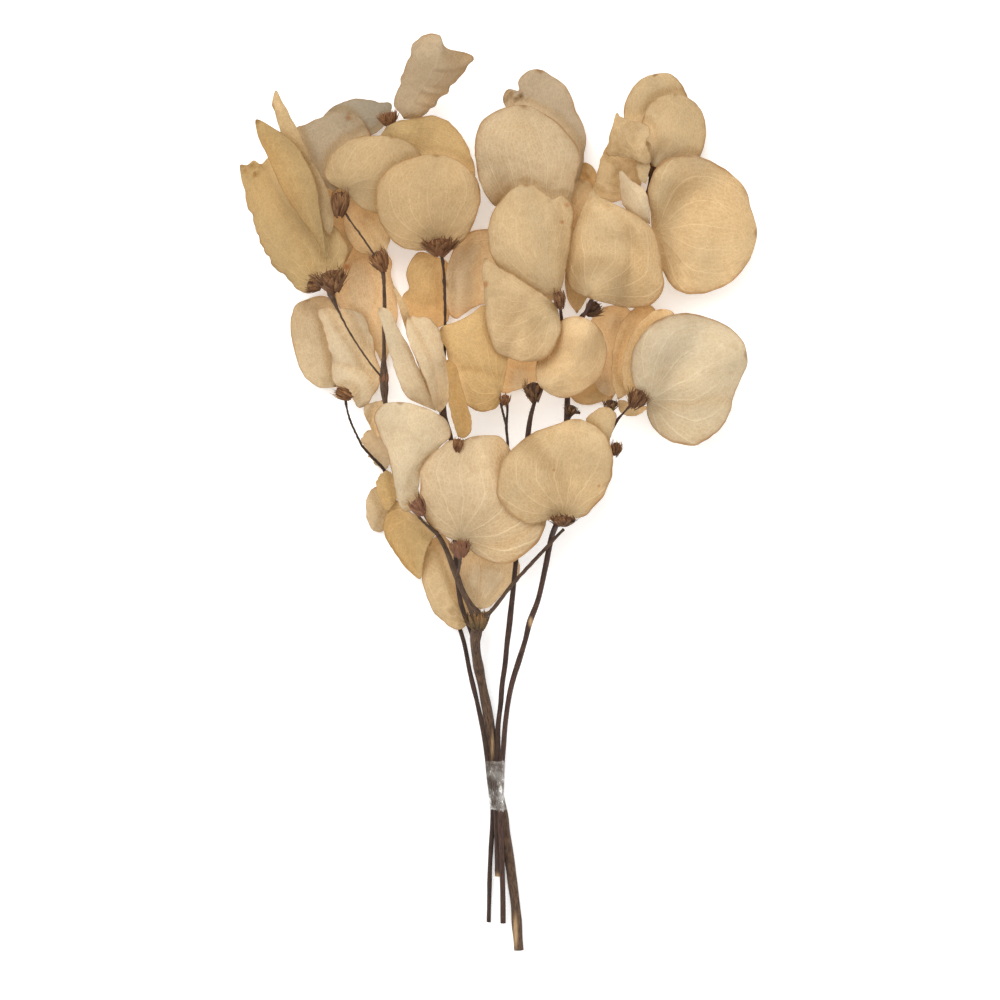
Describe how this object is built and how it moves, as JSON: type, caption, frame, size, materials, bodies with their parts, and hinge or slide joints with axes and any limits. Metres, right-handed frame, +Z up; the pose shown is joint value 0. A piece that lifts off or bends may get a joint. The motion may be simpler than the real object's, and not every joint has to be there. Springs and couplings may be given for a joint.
{
  "type": "bunch of dried leaf twigs",
  "caption": "Flat bunch of dried twigs with broad papery leaves and bristly burs, bound near the stem ends with a band of clear tape; lies on a surface.",
  "frame": {"origin": "centre of the bounding box in plan, at the surface that the bunch lies on", "axes": "+Y along the stems towards the leaf tips, +Z up from the surface, +X across the bunch"},
  "size_m": [0.226, 0.3968, 0.0639],
  "materials": {
    "leaf_a01": "matte",
    "leaf_a02": "matte",
    "leaf_a03": "matte",
    "leaf_a04": "matte",
    "leaf_a05": "matte",
    "leaf_a06": "matte",
    "leaf_a07": "matte",
    "leaf_a08": "matte",
    "leaf_a09": "matte",
    "leaf_a10": "matte",
    "leaf_a11": "matte",
    "leaf_a12": "matte",
    "leaf_b01": "matte",
    "leaf_b02": "matte",
    "leaf_b03": "matte",
    "leaf_b04": "matte",
    "leaf_b05": "matte",
    "leaf_b06": "matte",
    "leaf_b07": "matte",
    "leaf_b08": "matte",
    "leaf_b09": "matte",
    "leaf_b10": "matte",
    "leaf_b11": "matte",
    "leaf_b12": "matte",
    "leaf_b13": "matte",
    "leaf_b15": "matte",
    "leaf_c01": "matte",
    "leaf_c02": "matte",
    "leaf_d01": "matte",
    "leaf_d02": "matte",
    "leaf_d03": "matte",
    "leaf_d04": "matte",
    "leaf_e01": "matte",
    "leaf_e02": "matte",
    "leaf_e03": "matte",
    "leaf_e04": "matte",
    "leaf_f01": "matte",
    "leaf_f02": "matte",
    "leaf_f03": "matte",
    "leaf_f04": "matte",
    "leaf_f05": "matte",
    "leaf_f06": "matte",
    "leaf_f07": "matte",
    "leaf_g01": "matte",
    "leaf_g02": "matte",
    "leaf_h01": "matte",
    "leaf_h02": "matte",
    "leaf_i01": "matte",
    "leaf_i02": "matte",
    "leaf_i03": "matte",
    "leaf_i04": "matte",
    "leaf_i05": "matte",
    "leaf_j01": "matte",
    "leaf_j02": "matte",
    "stem_a": "rough bark",
    "stem_b": "rough bark",
    "stem_c": "rough bark",
    "stem_d": "rough bark",
    "stem_e": "rough bark",
    "tape": "wrinkled clear film"
  },
  "bodies": {
    "root": {"leaf_a01": "leaf_a01", "leaf_a02": "leaf_a02", "leaf_a03": "leaf_a03", "leaf_a04": "leaf_a04", "leaf_a05": "leaf_a05", "leaf_a06": "leaf_a06", "leaf_a07": "leaf_a07", "leaf_a08": "leaf_a08", "leaf_a09": "leaf_a09", "leaf_a10": "leaf_a10", "leaf_a11": "leaf_a11", "leaf_a12": "leaf_a12", "leaf_b01": "leaf_b01", "leaf_b02": "leaf_b02", "leaf_b03": "leaf_b03", "leaf_b04": "leaf_b04", "leaf_b05": "leaf_b05", "leaf_b06": "leaf_b06", "leaf_b07": "leaf_b07", "leaf_b08": "leaf_b08", "leaf_b09": "leaf_b09", "leaf_b10": "leaf_b10", "leaf_b11": "leaf_b11", "leaf_b12": "leaf_b12", "leaf_b13": "leaf_b13", "leaf_b15": "leaf_b15", "leaf_c01": "leaf_c01", "leaf_c02": "leaf_c02", "leaf_d01": "leaf_d01", "leaf_d02": "leaf_d02", "leaf_d03": "leaf_d03", "leaf_d04": "leaf_d04", "leaf_e01": "leaf_e01", "leaf_e02": "leaf_e02", "leaf_e03": "leaf_e03", "leaf_e04": "leaf_e04", "leaf_f01": "leaf_f01", "leaf_f02": "leaf_f02", "leaf_f03": "leaf_f03", "leaf_f04": "leaf_f04", "leaf_f05": "leaf_f05", "leaf_f06": "leaf_f06", "leaf_f07": "leaf_f07", "leaf_g01": "leaf_g01", "leaf_g02": "leaf_g02", "leaf_h01": "leaf_h01", "leaf_h02": "leaf_h02", "leaf_i01": "leaf_i01", "leaf_i02": "leaf_i02", "leaf_i03": "leaf_i03", "leaf_i04": "leaf_i04", "leaf_i05": "leaf_i05", "leaf_j01": "leaf_j01", "leaf_j02": "leaf_j02", "stem_a": "stem_a", "stem_b": "stem_b", "stem_c": "stem_c", "stem_d": "stem_d", "stem_e": "stem_e", "tape": "tape"}
  },
  "joints": []
}
